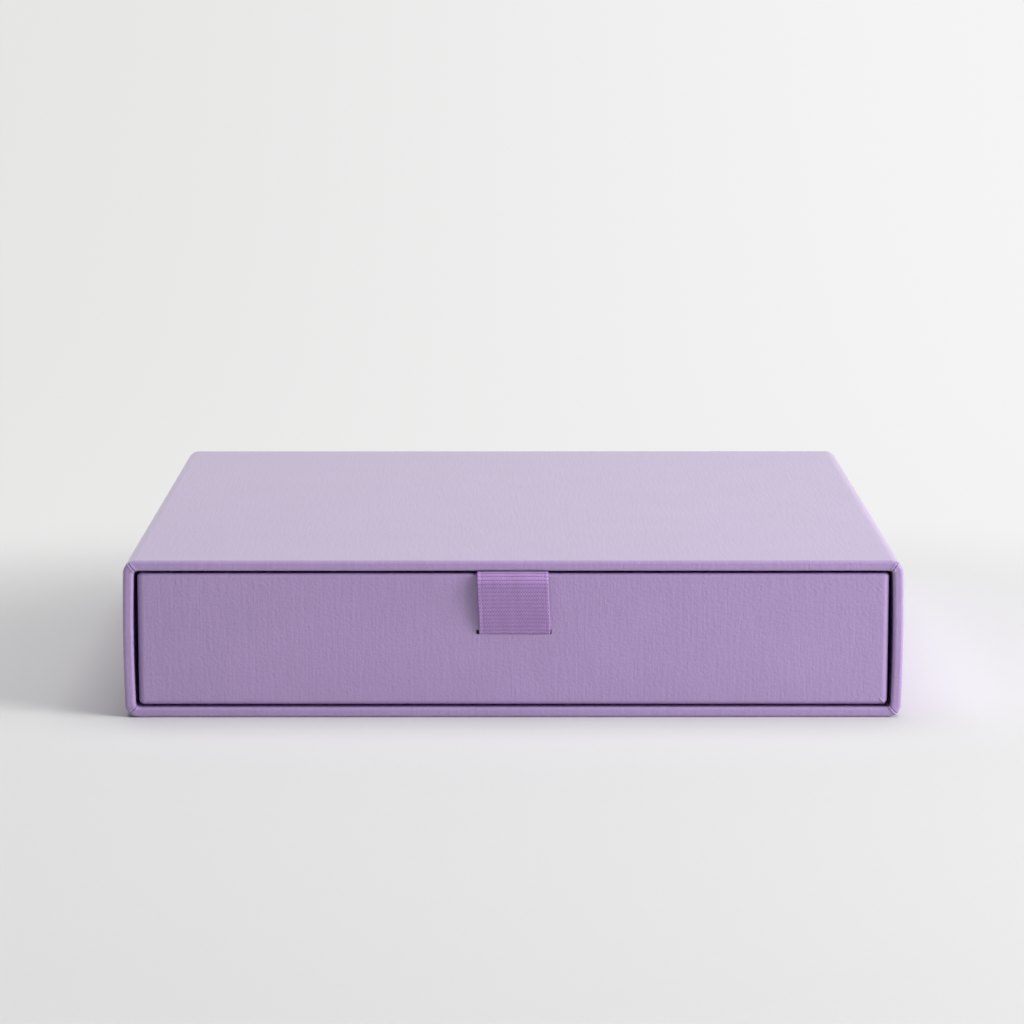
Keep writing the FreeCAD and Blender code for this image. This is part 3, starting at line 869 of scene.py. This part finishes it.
# The ribbon's two faces: the path's points moved out along its normal by half the thickness, less
# a valley between ribs (a power of a cosine along the path) and a pit where two warp yarns part,
# in every other rib half a pitch aside
def makeRibbon(material):
    look = ribbonPull
    path = ribbonPath()
    run = np.concatenate([[0], np.cumsum(np.linalg.norm(np.diff(path, axis=0), axis=1))])
    steps = int(round(run[-1] / look["ribPitch"] * look["ribSteps"]))
    along = np.linspace(0, run[-1], steps + 1)
    u, z = (np.interp(along, run, path[:, axis]) for axis in (0, 1))
    du, dz = np.gradient(u), np.gradient(z)
    size = np.hypot(du, dz)
    normalU, normalZ = (-dz / size)[:, None], (du / size)[:, None]

    halfWidth = (ribbonHigh[0] - ribbonLow[0]) / 2
    share = np.linspace(-1, 1, look["acrossSteps"] + 1)
    across = halfWidth * share * (1 + look["crowd"] * (1 - share ** 2))
    fromEdge = halfWidth - np.abs(across)
    s = along[:, None]
    crest = np.abs(np.cos(np.pi * s / look["ribPitch"])) ** look["crestPower"]
    body = smooth(*look["selvedgeBlend"], fromEdge / look["selvedge"])
    valley = (1 - crest) * (look["selvedgeRibs"] + (1 - look["selvedgeRibs"]) * body)
    stagger = np.pi * np.floor(s / look["ribPitch"])
    pits = (1 - crest) ** 2 * (0.5 + 0.5 * np.cos(2 * np.pi * across / look["dotPitch"] + stagger)) * body
    groove = bell(fromEdge - look["selvedge"], look["grooveWidth"])
    rounding = 1 - np.clip(fromEdge / look["edgeRound"], 0, 1)
    edge = np.sqrt(np.clip(1 - rounding ** 2, look["edgeLeast"], 1))
    onBend = bell(s - look["bendAt"], look["bendReach"])
    ribDepth = look["ribDepth"] * (1 + look["bendRibs"] * onBend)
    offset = look["thickness"] / 2 - ribDepth * valley - look["dotDepth"] * pits
    offset = (offset - look["grooveDepth"] * groove) * edge

    # drift across the drawer's face as it comes down, and small weft loops along the edges
    slitTop = drawerHigh[2] - drawerCover["slitDrop"]
    risen = smooth(slitTop, drawerHigh[2] - look["driftDrop"], z[:, None])
    drift = look["driftSlit"] + (look["driftTop"] - look["driftSlit"]) * risen
    loops = look["edgeLoops"] * np.cos(2 * np.pi * s / look["ribPitch"])
    loops = loops * bell(fromEdge, look["edgeLoopsReach"]) * np.sign(across)
    x = across + drift + loops

    def skin(amount):
        face = [x, drawerLow[1] - (u[:, None] + amount * normalU), z[:, None] + amount * normalZ]
        return np.stack(face, axis=2)

    lay = np.stack([across + 0 * s, s + 0 * across], axis=2)
    piece = sheetMesh("ribbonLoop", skin(offset), skin(-offset), lay)
    dress(piece, material, "ribbon", "drawer", "ribbon_pull")
    print("ribbon path is", round(run[-1] / mm, 2), "mm long")


ribbonPatch = {
    "stepStart": 10.8 * mm,  # it comes down to the wall between these, from the ribbon's middle
    "stepEnd": 12.4 * mm,
    "sink": 0.45,  # how much of its height it loses between the ribbon's two tails
    "sinkDrop": 14.2 * mm,  # from the rim down to that place
    "sinkWidth": 1.5 * mm,
    "sinkFade": (7 * mm, 10 * mm),
}


# A paper patch over the ribbon's glued ends: it stands up over the ribbon's thickness and comes
# down to the wall on either side in a smooth step
def makePatch(material):
    look = ribbonPatch
    x = np.linspace(-patchHigh[0], patchHigh[0], 97)
    z = np.linspace(patchLow[2], patchHigh[2], 41)[:, None]
    drift = ribbonPull["driftSlit"] / 2
    step = 1 - smooth(look["stepStart"], look["stepEnd"], np.abs(x - drift))
    sink = look["sink"] * bell(z - (drawerHigh[2] - look["sinkDrop"]), look["sinkWidth"])
    raised = ribbonPull["thickness"] * step * (1 - sink * (1 - smooth(*look["sinkFade"], np.abs(x))))
    seat = patchLow[1] + 0 * raised
    under = np.stack([x + 0 * z, seat + raised, z + 0 * x], axis=2)
    over = under + np.array([0, stock["lining"], 0])
    lay = np.stack([x + 0 * z, z + 0 * x], axis=2)
    piece = sheetMesh("ribbonPatch", over, under, lay)
    dress(piece, material, "lining_paper", "drawer", "ribbon_patch")


panelEdge = 0.1 * mm  # how far in a panel's rim is rounded


# A flat sheet let in between turned-over edges. Its rim falls away as a quarter circle. across and
# up are its axes, and out is 1 to 3 for the axis that it faces along, below 0 if it faces back.
def makePanel(name, node, across, up, out, body, material):
    low, high = boxOf(node)
    outward = abs(out) - 1

    def places(axis):
        start, end = low[axis] + stock["seam"], high[axis] - stock["seam"]
        rounding = panelEdge * np.array([0, 0.08, 0.3, 0.6, 1])
        return np.concatenate([start + rounding, np.linspace(start, end, 26)[1:-1], end - rounding[::-1]])

    a, b = places(across), places(up)[:, None]
    fromRim = np.minimum(np.minimum(a - a[0], a[-1] - a), np.minimum(b - b[0], b[-1] - b))
    rounding = 1 - np.clip(fromRim / panelEdge, 0, 1)
    fall = panelEdge * (1 - np.sqrt(np.clip(1 - rounding ** 2, 0, 1)))
    face, seat = (high, low) if out > 0 else (low, high)
    outer = np.zeros((len(b), len(a), 3))
    outer[:, :, across] = a
    outer[:, :, up] = b
    inner = outer.copy()
    outer[:, :, outward] = face[outward] - np.sign(out) * fall
    inner[:, :, outward] = seat[outward]
    lay = np.stack([a + 0 * b, b + 0 * a], axis=2)
    piece = sheetMesh(name, outer, inner, lay)
    dress(piece, material, "cover_paper", body, node)


coverPaper = linenPaper("coverPaper", paperLook)
ribbonWeave = ribbonCloth("ribbonWeave", ribbonLook)
liningPaper = fibrousStock("liningPaper", liningLook)
greyBoard = fibrousStock("greyBoard", boardLook)
stayTape = fibrousStock("stayTape", tapeLook)

makeSleeveCover(coverPaper)
print("sleeve cover made")
makeDrawerCover(coverPaper)
print("drawer cover made")
xAxis, yAxis, zAxis = 0, 1, 2
makePanel("sleeveBackPanel", "sleeve_back_sheet", xAxis, zAxis, +2, "sleeve", coverPaper)
makePanel("sleeveBasePanel", "sleeve_base_sheet", xAxis, yAxis, -3, "sleeve", coverPaper)
makePanel("drawerBasePanel", "drawer_base_sheet", xAxis, yAxis, -3, "drawer", coverPaper)
makeRibbon(ribbonWeave)
makePatch(liningPaper)
print("ribbon, patch and panels made")

# the nodes left from the CAD take their finish from the last word of their names
nodeFinish = {"board": greyBoard, "lining": liningPaper, "stays": stayTape}
for name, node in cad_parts.items():
    for slot in node.material_slots:
        slot.material = nodeFinish.get(name.split("_")[-1], slot.material)


studio = {
    # the floor's colour grows darker to the right: painted shade against the lamps' stronger light there
    "floorLeft": (0.795, 0.795, 0.795),
    "floorRight": (0.650, 0.650, 0.650),
    # the backdrop glows brighter to the right: painted light
    "backdropLeft": (0.790, 0.790, 0.785),
    "backdropRight": (0.910, 0.910, 0.910),
    "gradientReach": 0.35,  # the backdrop's painted light and the floor's painted shade change over this far each side of the box
    "fadeCentre": (0.0, -0.15, 0.0),
    "fadeStart": 0.22,  # the floor passes into the pale backdrop this far from the centre
    "fadeEnd": 0.42,
    "sweepStart": 0.55,  # where the floor begins to rise behind the box
    "sweepRadius": 0.9,
    "halfWidth": 3.0,
    "front": -3.0,
    "wallTop": 2.4,
    "worldStrength": 0.12,
    "lampAim": (0, 0, 0.02),
    "lamps": {
        "window": {"place": (1.00, -0.62, 0.40), "size": 0.5, "watts": 10.4},
        "side": {"place": (1.10, -0.35, 0.30), "size": 0.5, "watts": 7.8},
        "high": {"place": (0.60, 0.00, 0.95), "size": 0.7, "watts": 1.6},
        "overhead": {"place": (0.00, 0.10, 1.30), "size": 1.2, "watts": 10.4},
    },
}


# 1 for rays that the camera, a gloss or a clear material sends, and 0 for those that light the box
def seenRay(graph):
    path = graph.add("LightPath")
    gloss = graph.math("MAXIMUM", path.outputs["Is Glossy Ray"], path.outputs["Is Transmission Ray"])
    return graph.math("MAXIMUM", path.outputs["Is Camera Ray"], gloss)


# The floor takes the box's shadow. Its colour is darker on the right, a painted shade against the lamps'
# stronger light there.
# Away from the box it passes into a pale glowing backdrop, a little brighter on the right: painted light.
def studioPaper():
    look = studio
    graph = Graph("studioPaper")
    place = graph.add("TexCoord").outputs["Object"]
    distance = graph.add("VectorMath", {0: place, 1: look["fadeCentre"]}, operation="DISTANCE")

    def gradual(value, start, end):
        return graph.add("MapRange", {"Value": value, "From Min": start, "From Max": end},
                         interpolation_type="SMOOTHSTEP").outputs[0]

    def leftToRight(left, right):
        return graph.add("Mix", {"Factor": side, "A": (*look[left], 1), "B": (*look[right], 1)},
                         data_type="RGBA").outputs["Result"]

    fade = gradual(distance.outputs["Value"], look["fadeStart"], look["fadeEnd"])
    reach = look["gradientReach"]
    side = gradual(graph.add("SeparateXYZ", {0: place}).outputs[0], -reach, reach)
    floor = graph.add("BsdfDiffuse", {"Color": leftToRight("floorLeft", "floorRight")})
    glow = graph.add("Emission", {"Color": leftToRight("backdropLeft", "backdropRight"), "Strength": 1.0})
    share = graph.math("MULTIPLY", fade, seenRay(graph))
    mixed = graph.add("MixShader", {0: share, 1: floor.outputs[0], 2: glow.outputs[0]})
    return graph.finish(mixed)


# A floor that rises into a backdrop in one curve: straight, a quarter circle, straight
def makeSweep():
    look = studio
    radius, start = look["sweepRadius"], look["sweepStart"]
    profile = np.concatenate([
        straight((look["front"], 0), (start, 0), 30),
        bend((start, radius), radius, -quarterTurn, 0, 40),
        straight((start + radius, radius), (start + radius, look["wallTop"]), 10),
    ])
    x = np.linspace(-look["halfWidth"], look["halfWidth"], 9)
    y, z = profile[:, :1] + 0 * x, profile[:, 1:] + 0 * x
    points = np.stack([x + 0 * y, y, z], axis=2)
    rows, cols = points.shape[:2]
    cornerRows, cornerCols = faceCorners(np.ones((rows - 1, cols - 1)))
    faces = cornerRows * cols + cornerCols
    points = points.reshape(-1, 3)
    sweep = meshPiece("sweep", points, faces, points[faces][:, :, :2])
    sweep.data.materials.append(studioPaper())


def makeWorld():
    look = studio
    world = bpy.data.worlds.new("studioWorld")
    bpy.context.scene.world = world
    graph = Graph(world)
    light = graph.add("Background", {"Color": (1, 1, 1, 1), "Strength": look["worldStrength"]})
    pale = graph.add("Background", {"Color": (*look["backdropRight"], 1), "Strength": 1.0})
    graph.finish(graph.add("MixShader", {0: seenRay(graph), 1: light.outputs[0], 2: pale.outputs[0]}))


# A square lamp behind a diffuser: it lights the box softly and leaves no glint on it
def makeLamp(name, place, size, watts):
    light = bpy.data.lights.new(name, "AREA")
    light.shape = "SQUARE"
    light.size = size
    light.energy = watts
    lamp = addObject(name, light)
    lamp.location = place
    lamp.visible_glossy = False
    toAim = mathutils.Vector(studio["lampAim"]) - mathutils.Vector(place)
    lamp.rotation_euler = toAim.to_track_quat("-Z", "Y").to_euler()


cameraSetup = {
    "place": (-0.0016, -1.0861, 0.2220),
    "tilt": 9.438,  # degrees down
    "turn": -0.073,  # degrees about the upright
    "lens": 124.9,  # millimetres, on a sensor 36 mm wide
    "sensor": 36.0,
    "clip": (0.05, 20),
}


def makeCamera():
    look = cameraSetup
    data = bpy.data.cameras.new("camera")
    data.lens = look["lens"]
    data.sensor_width = look["sensor"]
    data.clip_start, data.clip_end = look["clip"]
    camera = addObject("camera", data)
    camera.location = look["place"]
    camera.rotation_euler = (np.radians(90 - look["tilt"]), 0, np.radians(look["turn"]))
    bpy.context.scene.camera = camera


makeSweep()
makeWorld()
for name, lamp in studio["lamps"].items():
    makeLamp(name, **lamp)
makeCamera()
bpy.context.scene.view_settings.view_transform = "Standard"
print("studio made")
